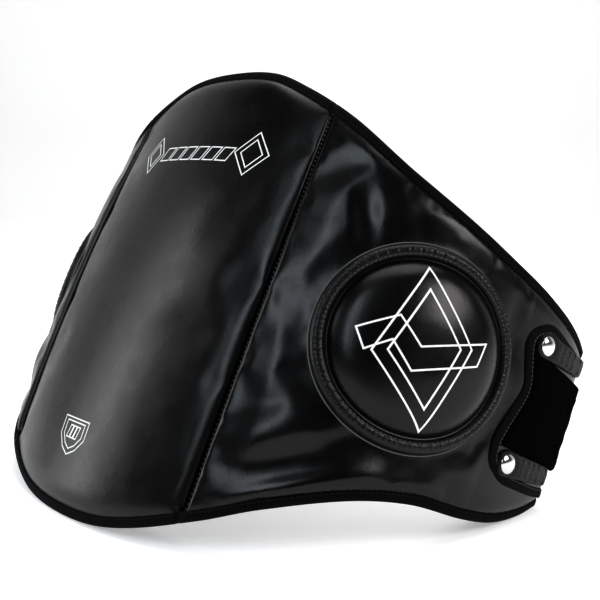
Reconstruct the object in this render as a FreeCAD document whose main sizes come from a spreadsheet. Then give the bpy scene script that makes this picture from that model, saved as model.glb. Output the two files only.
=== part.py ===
import FreeCAD, Part
import math
import os
import Sketcher
from FreeCAD import Placement, Rotation, Vector

# Belly protector: a quilted front panel, two wings that wrap round the waist and two
# straps that lap over each other behind the back.
#
# The outside of the pad follows one plan line made of tangent arcs.  That line is turned
# about a far axis behind the wearer, which gives the pad its slight bow from top to
# bottom.  A place on the pad is named by
#   s    distance along the plan line from the middle of the front (mm)
#   h    height along the pad above the level of the plan line (mm)
#   off  distance out of the pad face; negative is into the padding (mm)
# Left and right are the wearer's: left is +X.  Every piece is drawn upright and then
# leaned back and lifted by one placement, so the pad stands on its own edges.

doc = FreeCAD.newDocument("belly_protector")
sheet = doc.addObject("Spreadsheet::Sheet", "dims")

# ---------------------------------------------------------------- sizes, mm and degrees
D = {
    # plan line: radius of each arc and the heading of its outward normal where it ends
    "front_rad": 434.2,
    "side_rad": 132.3,
    "rear_rad": 249.4,
    "back_rad": 16.0,
    "lap_rad": 22.7,
    "front_end": 13.856,
    "side_end": 78.78,
    "rear_end": 103.61,
    # bow of the pad and the way it stands
    "bow_rad": 1768.0,
    "lean": 25.3,
    # layers through the pad, measured out of the face
    "face": 0.0,
    "cover_in": -2.0,
    "foam_in": -24.0,
    "lining_in": -26.0,
    "tape_out": 1.2,
    "tape_in": -27.2,
    "welt_out": -3.0,
    "welt_in": -7.0,
    # what is sewn on the outside of each wing
    "patch_out": 2.2,
    "arm_out": 4.2,
    "velvet_out": 5.2,
    "ring_out": 5.0,
    "dome_core": 7.0,
    "dome_out": 9.0,
    # straps
    "web_out": 4.7,
    "loop_out": 5.9,
    "hook_in": 1.2,
    "tab_out": 6.0,
}

SEAM = 111.0            # middle of the groove between the front panel and a wing
GROOVE = 4.0            # width of that groove
WING_END = 360.0        # rear edge of a wing
ROOT_END = 362.0        # rear edge of the strap root sewn on the wing
BLANK_END = 362.8       # cutting blocks stop here, before the sharp bend of the strap
PATCH_START = 280.0
ARM_START = 294.0       # rounded front end of the two arms over the strap root
ROOT_START = 300.0
TARGET = (214.0, 76.0)  # middle of the round target on a wing
TARGET_RAD = 64.0
RIVETS = ((304.0, 118.5), (302.0, 31.5))
STRAP_LOW = 58.0
STRAP_HIGH = 108.0
ROOT_LOW = 45.0         # the strap root is wider than the strap
ROOT_HIGH = 105.0
TAPE_LAP = 7.0          # how far the edge tape reaches down each face
TAPE = 1.2
SLACK = 0.25            # room between a layer and the tape folded over it
POST_RAD = 2.5
FIT = 0.05              # radial room round a rivet post
CAP_RAD = 6.5
CAP_RISE = 2.6
WASHER_RAD = 7.0
WASHER = 1.5
LOOP_END = 3.0          # free end of the left strap, just past the middle of the back
HOOK_END = 118.0        # free end of the right strap, across the middle of the back
TAB_END = 150.0

# edge lines of the pad (s, h); both are the same on the two sides
TOP_LINE = ((0, 234.5), (46, 232), (82, 221), (122, 205), (178, 179), (242, 161),
            (297, 153), (341, 146), (376, 134))
LOW_LINE = ((0, -93), (44, -90), (82, -80), (125, -62), (157, -45), (204, -24),
            (240, -15), (281, -13.5), (310, -9.6), (339, 0.5), (360, 11.1), (376, 19))
# front edge of the anchor patch (h, s), then its lower and upper rear corners (s, h)
PATCH_FRONT = ((18, 299), (26, 288), (41, 284.5), (58, 289), (72, 294), (86, 297),
               (102, 291), (118, 285.5), (133, 298))
PATCH_LOW = ((338, 17.5), (BLANK_END, 23))
PATCH_HIGH = (BLANK_END, 127)


def plan_centres():
    """Middle of each arc, so that every arc leaves the one before it in line."""
    D["front_cx"] = 0.0
    D["front_cy"] = D["front_rad"]
    chain = ("front", "side", "rear", "back")
    for old, new in zip(chain, chain[1:]):
        turn = math.radians(D[old + "_end"])
        step = D[old + "_rad"] - D[new + "_rad"]
        D[new + "_cx"] = D[old + "_cx"] + step * math.sin(turn)
        D[new + "_cy"] = D[old + "_cy"] - step * math.cos(turn)
    turn = math.radians(D["rear_end"])
    step = D["rear_rad"] - D["lap_rad"]
    D["lap_cx"] = D["rear_cx"] + step * math.sin(turn)
    D["lap_cy"] = D["rear_cy"] - step * math.cos(turn)


ARCS = ("front", "side", "rear", "back")


def heading(s):
    """Heading of the outward normal at distance s, in degrees."""
    start = 0.0
    left = s
    for arc in ARCS[:-1]:
        length = math.radians(D[arc + "_end"] - start) * D[arc + "_rad"]
        if left <= length:
            break
        left -= length
        start = D[arc + "_end"]
    else:
        arc = ARCS[-1]
    return start + math.degrees(left / D[arc + "_rad"])


def arc_of(turn):
    for arc in ARCS[:-1]:
        if turn <= D[arc + "_end"]:
            return arc
    return ARCS[-1]


def outward(s, h):
    """Unit normal out of the pad at (s, h), before the pad is leaned."""
    turn = math.radians(heading(abs(s)))
    tilt = h / D["bow_rad"]
    across = math.sin(turn) * (1 if s >= 0 else -1)
    return Vector(across, -math.cos(turn) * math.cos(tilt), math.cos(turn) * math.sin(tilt))


def place(s, off, h):
    """Point of the upright pad."""
    turn = heading(abs(s))
    arc = arc_of(turn)
    reach = D[arc + "_rad"] + off
    x = D[arc + "_cx"] + reach * math.sin(math.radians(turn))
    depth = D[arc + "_cy"] - reach * math.cos(math.radians(turn))
    swing = D["bow_rad"] - depth
    tilt = h / D["bow_rad"]
    return Vector(math.copysign(x, s) if s else 0.0,
                  D["bow_rad"] - swing * math.cos(tilt),
                  swing * math.sin(tilt))


def smooth(line, at):
    """Value of a smooth curve through the points of a line."""
    at = min(max(at, line[0][0]), line[-1][0])
    slopes = []
    for k in range(len(line)):
        a = line[max(k - 1, 0)]
        b = line[min(k + 1, len(line) - 1)]
        slopes.append((b[1] - a[1]) / (b[0] - a[0]))
    if line[0][0] == 0:
        slopes[0] = 0.0
    for k in range(len(line) - 1):
        x0, y0 = line[k]
        x1, y1 = line[k + 1]
        if at <= x1:
            break
    span = x1 - x0
    t = (at - x0) / span
    return ((1 + 2 * t) * (1 - t) ** 2 * y0 + t * (1 - t) ** 2 * span * slopes[k]
            + t * t * (3 - 2 * t) * y1 + t * t * (t - 1) * span * slopes[k + 1])


plan_centres()
D["wing_from"] = heading(SEAM + GROOVE / 2)
D["wing_to"] = heading(WING_END)
D["panel_to"] = math.degrees((SEAM - GROOVE / 2) / D["front_rad"])
D["welt_from"] = D["panel_to"]
D["welt_to"] = math.degrees((SEAM - GROOVE / 2 + 2.4) / D["front_rad"])
D["wing_cap"] = heading(WING_END + TAPE)
D["cap_lap"] = heading(WING_END - TAPE_LAP)
D["target_from"] = heading(TARGET[0] - TARGET_RAD - 8)
D["target_to"] = heading(TARGET[0] + TARGET_RAD + 14)
D["patch_from"] = heading(PATCH_START)
D["root_from"] = heading(ROOT_START)
D["root_to"] = heading(ROOT_END)
D["strap_from"] = D["rear_end"]
D["pad_up"] = math.degrees(245 / D["bow_rad"])
D["pad_down"] = math.degrees(105 / D["bow_rad"])
D["strap_up"] = math.degrees(STRAP_HIGH / D["bow_rad"])
D["strap_down"] = -math.degrees(STRAP_LOW / D["bow_rad"])
D["root_up"] = math.degrees(ROOT_HIGH / D["bow_rad"])
D["root_down"] = -math.degrees(ROOT_LOW / D["bow_rad"])
D["field_up"] = math.degrees((STRAP_HIGH - 4) / D["bow_rad"])
D["field_down"] = -math.degrees((STRAP_LOW + 4) / D["bow_rad"])
D["low_lift"] = 85.2
D["mid_shift"] = -112.35

for row, (alias, value) in enumerate(D.items(), start=1):
    sheet.set("A%d" % row, alias)
    sheet.set("B%d" % row, repr(round(value, 4)))
    sheet.setAlias("B%d" % row, alias)
doc.recompute()


# ---------------------------------------------------------------- sketches and bands
def origin_plane(body, role):
    for feature in body.Origin.OriginFeatures:
        if feature.Role == role:
            return feature


def bind(sketch, constraint, formula):
    index = sketch.addConstraint(constraint)
    sketch.setExpression("Constraints[%d]" % index, formula)


def join(sketch, a, a_end, b, b_end):
    sketch.addConstraint(Sketcher.Constraint("Coincident", a, a_end, b, b_end))


def plan_sketch(body):
    """Sketch on the plan level with the far axis of the bow drawn in it."""
    sketch = body.newObject("Sketcher::SketchObject", body.Name + "_plan")
    sketch.AttachmentSupport = [(origin_plane(body, "XY_Plane"), "")]
    sketch.MapMode = "FlatFace"
    bow = D["bow_rad"]
    axis = sketch.addGeometry(Part.LineSegment(Vector(10, bow, 0), Vector(0, bow, 0)), True)
    sketch.addConstraint(Sketcher.Constraint("Horizontal", axis))
    sketch.addConstraint(Sketcher.Constraint("PointOnObject", axis, 2, -2))
    sketch.addConstraint(Sketcher.Constraint("DistanceX", -1, 1, axis, 1, 10))
    bind(sketch, Sketcher.Constraint("DistanceY", -1, 1, axis, 1, bow), "dims.bow_rad")
    return sketch


def arc_run(sketch, arcs, begin, finish, offset):
    """Tangent arcs from one heading to another, moved out by a named offset."""
    run = []
    start = begin
    for k, arc in enumerate(arcs):
        stop = finish if k == len(arcs) - 1 else arc + "_end"
        rad = D[arc + "_rad"] + D[offset]
        circle = Part.Circle(Vector(D[arc + "_cx"], D[arc + "_cy"], 0), Vector(0, 0, 1), rad)
        a0 = math.radians(D[start] - 90)
        a1 = math.radians(D[stop] - 90)
        item = sketch.addGeometry(Part.ArcOfCircle(circle, a0, a1), False)
        bind(sketch, Sketcher.Constraint("Radius", item, rad),
             "dims.%s_rad + dims.%s" % (arc, offset))
        bind(sketch, Sketcher.Constraint("Angle", item, a1 - a0),
             "(dims.%s - dims.%s) * 1 deg" % (stop, start))
        if run:
            sketch.addConstraint(Sketcher.Constraint("Tangent", run[-1], 2, item, 1))
        run.append(item)
        start = stop
    return run


def fix_centre(sketch, item, arc):
    if D[arc + "_cx"] == 0:
        sketch.addConstraint(Sketcher.Constraint("PointOnObject", item, 3, -2))
    else:
        bind(sketch, Sketcher.Constraint("DistanceX", -1, 1, item, 3, D[arc + "_cx"]),
             "dims.%s_cx" % arc)
    bind(sketch, Sketcher.Constraint("DistanceY", -1, 1, item, 3, D[arc + "_cy"]),
         "dims.%s_cy" % arc)


def end_line(sketch, inner, outer, end):
    line = sketch.addGeometry(Part.LineSegment(sketch.getPoint(inner, end),
                                               sketch.getPoint(outer, end)), False)
    join(sketch, line, 1, inner, end)
    join(sketch, line, 2, outer, end)
    return line


def turn_up(body, sketch, up, down):
    """Turn a plan sketch about the far axis, between two named angles."""
    doc.recompute()
    sweep = body.newObject("PartDesign::Revolution", body.Name + "_bow")
    sweep.Profile = sketch
    sweep.ReferenceAxis = (sketch, ["Axis0"])
    sweep.Type = "TwoAngles"
    sweep.setExpression("Angle", "dims.%s * 1 deg" % up)
    sweep.setExpression("Angle2", "dims.%s * 1 deg" % down)
    sketch.Visibility = False
    doc.recompute()
    return body


def band(name, arcs, begin, finish, outer, inner, up="pad_up", down="pad_down"):
    """One layer of the pad between two headings and two offsets."""
    body = doc.addObject("PartDesign::Body", name)
    sketch = plan_sketch(body)
    outside = arc_run(sketch, arcs, begin, finish, outer)
    inside = arc_run(sketch, arcs, begin, finish, inner)
    fix_centre(sketch, outside[0], arcs[0])
    join(sketch, inside[0], 3, outside[0], 3)
    first = end_line(sketch, inside[0], outside[0], 1)
    end_line(sketch, inside[-1], outside[-1], 2)
    sketch.addConstraint(Sketcher.Constraint("PointOnObject", outside[0], 3, first))
    bind(sketch, Sketcher.Constraint("Angle", first, math.radians(D[begin] - 90)),
         "(dims.%s - 90) * 1 deg" % begin)
    return turn_up(body, sketch, up, down)


def strap_band(name, arc, begin, finish_x, outer, inner, up, down):
    """Strap layer: round the side of the waist and then straight across the back."""
    body = doc.addObject("PartDesign::Body", name)
    sketch = plan_sketch(body)
    rows = []
    for offset in (outer, inner):
        rad = D[arc + "_rad"] + D[offset]
        centre = Vector(D[arc + "_cx"], D[arc + "_cy"], 0)
        circle = Part.Circle(centre, Vector(0, 0, 1), rad)
        a0 = math.radians(D[begin] - 90)
        bend = sketch.addGeometry(Part.ArcOfCircle(circle, a0, math.radians(90)), False)
        level = centre.y + rad
        flat = sketch.addGeometry(Part.LineSegment(Vector(centre.x, level, 0),
                                                   Vector(finish_x, level, 0)), False)
        bind(sketch, Sketcher.Constraint("Radius", bend, rad),
             "dims.%s_rad + dims.%s" % (arc, offset))
        sketch.addConstraint(Sketcher.Constraint("Tangent", bend, 2, flat, 1))
        sketch.addConstraint(Sketcher.Constraint("Horizontal", flat))
        sketch.addConstraint(Sketcher.Constraint("DistanceX", -1, 1, flat, 2, finish_x))
        rows.append((bend, flat))
    fix_centre(sketch, rows[0][0], arc)
    join(sketch, rows[1][0], 3, rows[0][0], 3)
    first = end_line(sketch, rows[1][0], rows[0][0], 1)
    end_line(sketch, rows[1][1], rows[0][1], 2)
    sketch.addConstraint(Sketcher.Constraint("PointOnObject", rows[0][0], 3, first))
    bind(sketch, Sketcher.Constraint("Angle", first, math.radians(D[begin] - 90)),
         "(dims.%s - 90) * 1 deg" % begin)
    return turn_up(body, sketch, up, down)


def flat_band(name, from_x, to_x, level_arc, outer, inner, up, down):
    """Layer on the straight back run of a strap."""
    body = doc.addObject("PartDesign::Body", name)
    sketch = plan_sketch(body)
    low = D[level_arc + "_cy"] + D[level_arc + "_rad"] + D[inner]
    high = D[level_arc + "_cy"] + D[level_arc + "_rad"] + D[outer]
    corners = [Vector(from_x, low, 0), Vector(to_x, low, 0),
               Vector(to_x, high, 0), Vector(from_x, high, 0)]
    sides = []
    for k in range(4):
        sides.append(sketch.addGeometry(Part.LineSegment(corners[k], corners[(k + 1) % 4]), False))
    for k in range(4):
        join(sketch, sides[k], 2, sides[(k + 1) % 4], 1)
    for k, way in enumerate(("Horizontal", "Vertical", "Horizontal", "Vertical")):
        sketch.addConstraint(Sketcher.Constraint(way, sides[k]))
    sketch.addConstraint(Sketcher.Constraint("DistanceX", -1, 1, sides[0], 1, from_x))
    sketch.addConstraint(Sketcher.Constraint("DistanceX", -1, 1, sides[0], 2, to_x))
    level = "dims.%s_cy + dims.%s_rad + dims.%s"
    bind(sketch, Sketcher.Constraint("DistanceY", -1, 1, sides[0], 1, low),
         level % (level_arc, level_arc, inner))
    bind(sketch, Sketcher.Constraint("DistanceY", -1, 1, sides[2], 1, high),
         level % (level_arc, level_arc, outer))
    return turn_up(body, sketch, up, down)


# ---------------------------------------------------------------- lofts along the edges
def beside(s, edge, off, rise):
    """Point at an offset from the pad, a true distance up from the edge line."""
    foot = place(s, off, edge)
    swing = math.hypot(D["bow_rad"] - foot.y, foot.z)
    return place(s, off, edge + rise * D["bow_rad"] / swing)


def loft_along(name, stations, inset):
    """Solid block along the pad whose top and bottom follow the edge lines."""
    wires = []
    for s in stations:
        top = smooth(TOP_LINE, abs(s))
        low = smooth(LOW_LINE, abs(s))
        points = [beside(s, low, 20, inset + level_cut(s, 20)), beside(s, top, 20, -inset),
                  beside(s, top, -40, -inset), beside(s, low, -40, inset + level_cut(s, -40))]
        wires.append(Part.makePolygon(points + points[:1]))
    item = doc.addObject("Part::Feature", name)
    item.Shape = Part.makeLoft(wires, True, False)
    return item


def spread(start, stop, step):
    count = max(2, int(round((stop - start) / step)))
    return [start + (stop - start) * k / count for k in range(count + 1)]


def level_cut(s, off):
    """Rise of the bottom edge into the padding, so that it is level once leaned."""
    return -off * math.tan(math.radians(D["lean"])) * math.cos(math.radians(heading(abs(s))))


def swept(name, stations, section):
    """Closed solid along the pad from square cross-sections, one smooth edge through each
    corner.  It climbs with the edge line, which a pad or a revolution cannot do."""
    rows = []
    for s in stations:
        edge, corners = section(s)
        rows.append([beside(s, edge, off, rise) for off, rise in corners])
    runs = []
    for k in range(len(rows[0])):
        curve = Part.BSplineCurve()
        curve.interpolate([row[k] for row in rows])
        runs.append(curve.toShape())
    faces = [Part.makeRuledSurface(a, b) for a, b in zip(runs, runs[1:] + runs[:1])]
    for row in (rows[0], rows[-1]):
        facing = list(zip(row, row[::-1]))[:len(row) // 2]
        for (a, d), (b, c) in zip(facing, facing[1:]):
            faces.append(Part.makeRuledSurface(Part.makeLine(a, b), Part.makeLine(d, c)))
    shell = Part.Shell(faces)
    shell.sewShape()
    solid = Part.Solid(Part.Shell(shell.Faces))
    if solid.Volume < 0:
        solid.reverse()
    item = doc.addObject("Part::Feature", name)
    item.Shape = solid
    return item


def edge_tape(name, start, stop, edge):
    """U of tape folded over the top edge (edge +1) or the bottom edge (edge -1)."""
    out, back = D["tape_out"], D["tape_in"]
    face, rear = D["face"], D["lining_in"]
    rows = ((out, TAPE_LAP), (out, 0), (back, 0), (back, TAPE_LAP),
            (rear, TAPE_LAP), (rear, TAPE), (face, TAPE), (face, TAPE_LAP))

    def section(s):
        if edge > 0:
            return smooth(TOP_LINE, abs(s)), [(off, -rise) for off, rise in rows]
        return smooth(LOW_LINE, abs(s)), [(off, rise + level_cut(s, off)) for off, rise in rows]
    return swept(name, spread(start, stop, 10), section)


def common(name, base, tool):
    item = doc.addObject("Part::Common", name)
    item.Base = base
    item.Tool = tool
    doc.recompute()
    return item


def cut(name, base, tool):
    item = doc.addObject("Part::Cut", name)
    item.Base = base
    item.Tool = tool
    doc.recompute()
    return item


def peg(name, spot, low, high, rad):
    """Straight round bar square to the pad at (s, h), between two offsets."""
    item = doc.addObject("Part::Cylinder", name)
    item.Radius = rad
    item.Height = high - low
    item.Placement = Placement(place(spot[0], low, spot[1]),
                               Rotation(Vector(0, 0, 1), outward(*spot)))
    return item


def group(name, items):
    item = doc.addObject("Part::Compound", name)
    item.Links = items
    doc.recompute()
    return item


PIECES = {}


def keep(name, item):
    item.Label = name
    PIECES[name] = item
    return item


def mirror(name, source):
    item = doc.addObject("Part::Mirroring", name)
    item.Source = source
    item.Normal = Vector(1, 0, 0)
    doc.recompute()
    return keep(name, item)


# ---------------------------------------------------------------- front panel
panel_blank = loft_along("panel_blank", spread(-118, 118, 10), TAPE + SLACK)


def panel_band(name, outer, inner):
    """Layer of the front panel, the same on both sides of the middle."""
    body = doc.addObject("PartDesign::Body", name)
    sketch = plan_sketch(body)
    items = []
    turn = math.radians(D["panel_to"])
    for offset in (outer, inner):
        rad = D["front_rad"] + D[offset]
        circle = Part.Circle(Vector(0, D["front_cy"], 0), Vector(0, 0, 1), rad)
        item = sketch.addGeometry(Part.ArcOfCircle(circle, -turn - math.pi / 2,
                                                   turn - math.pi / 2), False)
        bind(sketch, Sketcher.Constraint("Radius", item, rad), "dims.front_rad + dims.%s" % offset)
        items.append(item)
    fix_centre(sketch, items[0], "front")
    join(sketch, items[1], 3, items[0], 3)
    for end, sign in ((1, -1), (2, 1)):
        line = end_line(sketch, items[1], items[0], end)
        sketch.addConstraint(Sketcher.Constraint("PointOnObject", items[0], 3, line))
        bind(sketch, Sketcher.Constraint("Angle", line, sign * turn - math.pi / 2),
             "(%d * dims.panel_to - 90) * 1 deg" % sign)
    return turn_up(body, sketch, "pad_up", "pad_down")


for layer, outer, inner in (("cover", "face", "cover_in"), ("foam", "cover_in", "foam_in"),
                            ("lining", "foam_in", "lining_in")):
    sheet_of = panel_band("panel_%s_band" % layer, outer, inner)
    keep("panel_" + layer, common("panel_" + layer, sheet_of, panel_blank))

panel_half = SEAM - GROOVE / 2
keep("panel_top_tape", edge_tape("panel_top_tape", -panel_half, panel_half, 1))
keep("panel_low_tape", edge_tape("panel_low_tape", -panel_half, panel_half, -1))

# ---------------------------------------------------------------- left wing and its mirror
wing_blank = loft_along("wing_blank", spread(104, BLANK_END, 10), TAPE + SLACK)
welt_band = band("welt_band", ["front"], "welt_from", "welt_to", "welt_out", "welt_in")
welt_blank = loft_along("welt_blank", spread(105, 115, 5), TAPE_LAP + SLACK)
keep("left_seam_welt", common("left_seam_welt", welt_band, welt_blank))

wing_layers = {}
for layer, outer, inner in (("cover", "face", "cover_in"), ("foam", "cover_in", "foam_in"),
                            ("lining", "foam_in", "lining_in")):
    sheet_of = band("wing_%s_band" % layer, ["side", "rear"], "wing_from", "wing_to",
                    outer, inner)
    wing_layers[layer] = common("wing_%s_cut" % layer, sheet_of, wing_blank)

wing_start = SEAM + GROOVE / 2
keep("left_wing_top_tape", edge_tape("left_wing_top_tape", wing_start, WING_END, 1))
keep("left_wing_low_tape", edge_tape("left_wing_low_tape", wing_start, WING_END, -1))

# tape over the rear edge of the wing: it closes the end and laps onto the lining
end_face = common("end_face", band("end_face_band", ["rear"], "wing_to", "wing_cap", "face",
                                   "tape_in"),
                  loft_along("end_blank", spread(350, BLANK_END, 4), 0.0))
end_lap = common("end_lap", band("end_lap_band", ["rear"], "cap_lap", "wing_to", "lining_in",
                                 "tape_in"),
                 loft_along("lap_blank", spread(344, BLANK_END, 5), TAPE_LAP + SLACK))
end_tape = doc.addObject("Part::Fuse", "left_wing_end_tape")
end_tape.Base = end_face
end_tape.Tool = end_lap
doc.recompute()
keep("left_wing_end_tape", end_tape)

# rivet holes go through arm, patch and cover; a washer sits in the foam under the cover
holes = group("rivet_holes", [peg("hole_%d" % k, spot, -12, 12, POST_RAD + FIT)
                              for k, spot in enumerate(RIVETS)])
pockets = group("washer_pockets", [peg("pocket_%d" % k, spot, D["cover_in"] - WASHER - 0.8, 12,
                                       WASHER_RAD + 0.3) for k, spot in enumerate(RIVETS)])
keep("left_wing_cover", cut("left_wing_cover", wing_layers["cover"], holes))
keep("left_wing_foam", cut("left_wing_foam", wing_layers["foam"], pockets))
keep("left_wing_lining", wing_layers["lining"])

# round target: stitched ring, dome of leather and the foam core inside it
disc = peg("target_disc", TARGET, -40, 40, TARGET_RAD)
eye = peg("target_eye", TARGET, -41, 41, TARGET_RAD - 8.5)
dome_disc = peg("target_dome_disc", TARGET, -40, 40, TARGET_RAD - 9)
core_disc = peg("target_core_disc", TARGET, -40, 40, TARGET_RAD - 11)
ring_band = band("target_ring_band", ["side", "rear"], "target_from", "target_to",
                 "ring_out", "face")
dome_band = band("target_dome_band", ["side", "rear"], "target_from", "target_to",
                 "dome_out", "face")
core_band = band("target_core_band", ["side", "rear"], "target_from", "target_to",
                 "dome_core", "face")
keep("left_target_ring", cut("left_target_ring", common("ring_plate", ring_band, disc), eye))
core = common("target_core", core_band, core_disc)
keep("left_target_foam", group("left_target_foam", [core]))
keep("left_target_dome", cut("left_target_dome", common("dome_plate", dome_band, dome_disc), core))


# anchor patch: the outline runs (s, h) over the rear part of the wing
def patch_tool(name, inset):
    """Block standing through the wing with the outline of the anchor patch."""
    heights = spread(18.0 + inset, 134.0 - inset, 13)
    wires = []
    for off in (-6, 14):
        front = [place(smooth(PATCH_FRONT, h) + inset, off, h) for h in heights]
        curve = Part.BSplineCurve()
        curve.interpolate(front)
        corners = [place(s, off, h + inset) for s, h in PATCH_LOW]
        corners.append(place(PATCH_HIGH[0], off, PATCH_HIGH[1] - inset))
        chain = [front[0]] + corners + [front[-1]]
        sides = [Part.makeLine(a, b) for a, b in zip(chain, chain[1:])]
        wires.append(Part.Wire([curve.toShape()] + sides[::-1]))
    item = doc.addObject("Part::Feature", name)
    item.Shape = Part.makeLoft(wires, True, True)
    return item


patch_out = patch_tool("patch_outline", 0.0)
patch_mid = patch_tool("patch_middle", 6.0)
patch_band = band("patch_band", ["rear"], "patch_from", "wing_to", "patch_out", "face")
patch_cut = common("patch_cut", patch_band, patch_mid)
keep("left_anchor_patch", cut("left_anchor_patch", patch_cut, holes))
edge_band = band("patch_edge_band", ["rear"], "patch_from", "wing_to", "patch_out", "face")
keep("left_patch_edge", cut("left_patch_edge", common("patch_edge_cut", edge_band, patch_out),
                            patch_mid))


def arm(name, low, high):
    """Leather arm over the patch, rounded at its front end."""
    middle = (low + high) / 2

    def section(s):
        nose = min(1.0, max(0.0, (s - ARM_START) / 7.0))
        half = (high - low) / 2 * (0.4 + 0.6 * math.sqrt(nose * (2 - nose)))
        top, base = D["arm_out"], D["patch_out"]
        return middle, ((top, -half), (top, half), (base, half), (base, -half))
    run = [ARM_START + step for step in (0, 0.5, 1.5, 3, 5, 7, 13, 21, 31, 41, 51)] + [WING_END]
    return swept(name, run, section)


upper_arm = arm("upper_arm_blank", 107.0, 126.0)
lower_arm = arm("lower_arm_blank", 22.0, 43.0)
keep("left_upper_arm", cut("left_upper_arm", upper_arm, holes))
keep("left_lower_arm", cut("left_lower_arm", lower_arm, holes))
keep("left_strap_root", band("left_strap_root", ["rear"], "root_from", "root_to",
                             "velvet_out", "patch_out", "root_up", "root_down"))


def rivet(name, spot):
    """Domed cap on a straight post, square to the pad."""
    dome = doc.addObject("Part::Ellipsoid", name + "_cap")
    dome.Radius1 = CAP_RISE
    dome.Radius2 = CAP_RAD
    dome.Radius3 = CAP_RAD
    dome.Angle1 = 0
    dome.Angle2 = 90
    dome.Placement = Placement(place(spot[0], D["arm_out"], spot[1]),
                               Rotation(Vector(0, 0, 1), outward(*spot)))
    post = peg(name + "_post", spot, D["cover_in"] - WASHER, D["arm_out"] + 0.5, POST_RAD)
    item = doc.addObject("Part::Fuse", name)
    item.Base = dome
    item.Tool = post
    doc.recompute()
    return item


keep("left_rivets", group("left_rivets", [rivet("rivet_%d" % k, spot)
                                          for k, spot in enumerate(RIVETS)]))
washers = []
for k, spot in enumerate(RIVETS):
    plate = peg("washer_plate_%d" % k, spot, D["cover_in"] - WASHER, D["cover_in"] - 0.1, WASHER_RAD)
    bore = peg("washer_bore_%d" % k, spot, D["cover_in"] - WASHER - 1, D["cover_in"] + 1,
               POST_RAD + FIT)
    washers.append(cut("washer_%d" % k, plate, bore))
keep("left_washers", group("left_washers", washers))

for name in [n for n in PIECES if n.startswith("left_")]:
    mirror(name.replace("left_", "right_"), PIECES[name])

# ---------------------------------------------------------------- straps
keep("left_strap", strap_band("left_strap", "back", "strap_from", LOOP_END, "web_out",
                              "patch_out", "strap_up", "strap_down"))
keep("left_loop_field", flat_band("left_loop_field", LOOP_END + 2, 125, "back", "loop_out",
                                  "web_out", "field_up", "field_down"))
right_web = strap_band("right_web", "lap", "strap_from", -HOOK_END, "web_out", "patch_out",
                       "strap_up", "strap_down")
mirror("right_strap", right_web)
right_hook = flat_band("right_hook", -HOOK_END + 3, -LOOP_END - 2, "lap", "patch_out",
                       "hook_in", "field_up", "field_down")
mirror("right_hook_field", right_hook)
right_tab = flat_band("right_tab", -TAB_END, -HOOK_END - 0.0, "lap", "tab_out", "patch_out",
                      "field_up", "field_down")
mirror("right_pull_tab", right_tab)

# ---------------------------------------------------------------- stand the pad up
stand = Placement(Vector(0, D["mid_shift"], D["low_lift"]),
                  Rotation(Vector(1, 0, 0), -D["lean"]))
drawn = [item for item in PIECES.values() if item.TypeId != "Part::Mirroring"]
for item in drawn + [right_web, right_hook, right_tab]:
    item.Placement = stand
    item.setExpression("Placement.Base.y", "dims.mid_shift * 1 mm")
    item.setExpression("Placement.Base.z", "dims.low_lift * 1 mm")
doc.recompute()

for item in doc.Objects:
    if "Invalid" in item.State or "Error" in item.State:
        raise RuntimeError("%s did not build: %s" % (item.Name, item.State))
for name, item in PIECES.items():
    if item.Shape.isNull() or not item.Shape.isValid() or not item.Shape.Solids:
        raise RuntimeError("%s has no valid solid" % name)

os.makedirs("parts", exist_ok=True)
for name, item in PIECES.items():
    item.Shape.exportStep("parts/%s.step" % name)
    box = item.Shape.optimalBoundingBox()
    print("%-20s %d %9.0f  x %7.1f %7.1f  y %7.1f %7.1f  z %7.1f %7.1f" % (
        name, len(item.Shape.Solids), item.Shape.Volume, box.XMin, box.XMax, box.YMin,
        box.YMax, box.ZMin, box.ZMax))
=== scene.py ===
import math

import bpy
import numpy as np
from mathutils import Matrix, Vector
from mathutils.bvhtree import BVHTree


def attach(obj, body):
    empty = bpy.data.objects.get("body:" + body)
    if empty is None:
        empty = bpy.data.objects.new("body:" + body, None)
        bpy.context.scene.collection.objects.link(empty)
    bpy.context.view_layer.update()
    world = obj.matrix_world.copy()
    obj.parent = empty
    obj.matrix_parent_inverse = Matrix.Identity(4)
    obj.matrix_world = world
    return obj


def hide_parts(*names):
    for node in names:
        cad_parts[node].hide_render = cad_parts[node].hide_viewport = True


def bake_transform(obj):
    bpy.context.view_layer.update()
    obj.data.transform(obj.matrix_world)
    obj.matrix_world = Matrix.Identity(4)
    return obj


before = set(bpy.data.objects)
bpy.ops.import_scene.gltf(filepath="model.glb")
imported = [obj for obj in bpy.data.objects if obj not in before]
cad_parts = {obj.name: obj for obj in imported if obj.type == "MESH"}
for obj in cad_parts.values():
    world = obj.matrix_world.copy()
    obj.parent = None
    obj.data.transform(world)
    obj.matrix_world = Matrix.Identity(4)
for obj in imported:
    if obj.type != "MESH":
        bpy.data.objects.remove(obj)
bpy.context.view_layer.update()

# ------------------------------------------------------------------ the pad's surface
# The same surface as the CAD source, in millimetres: s along the plan line from the middle
# of the front, off out of the pad face, h up the pad.  Left (+X) is the wearer's left.
FRONT_RAD, SIDE_RAD, REAR_RAD, BACK_RAD, LAP_RAD = 434.2, 132.3, 249.4, 16.0, 22.7
ENDS = (13.856, 78.78, 103.61, 180.0)   # heading where each arc ends, in degrees
BOW = 1768.0                            # radius of the pad's upright curve
LEAN = math.radians(25.3)
LIFT, SHIFT = 85.2, -112.35
SEAM, WING_END = 111.0, 360.0
TARGET_S, TARGET_H = 214.0, 76.0
STRAP_LOW, STRAP_HIGH = 58.0, 108.0
RIVETS = ((304.0, 118.5), (302.0, 31.5))
WALL, FULL = 13.0, 26.0                 # depth of the pad at its taped edge, and inside

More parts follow.
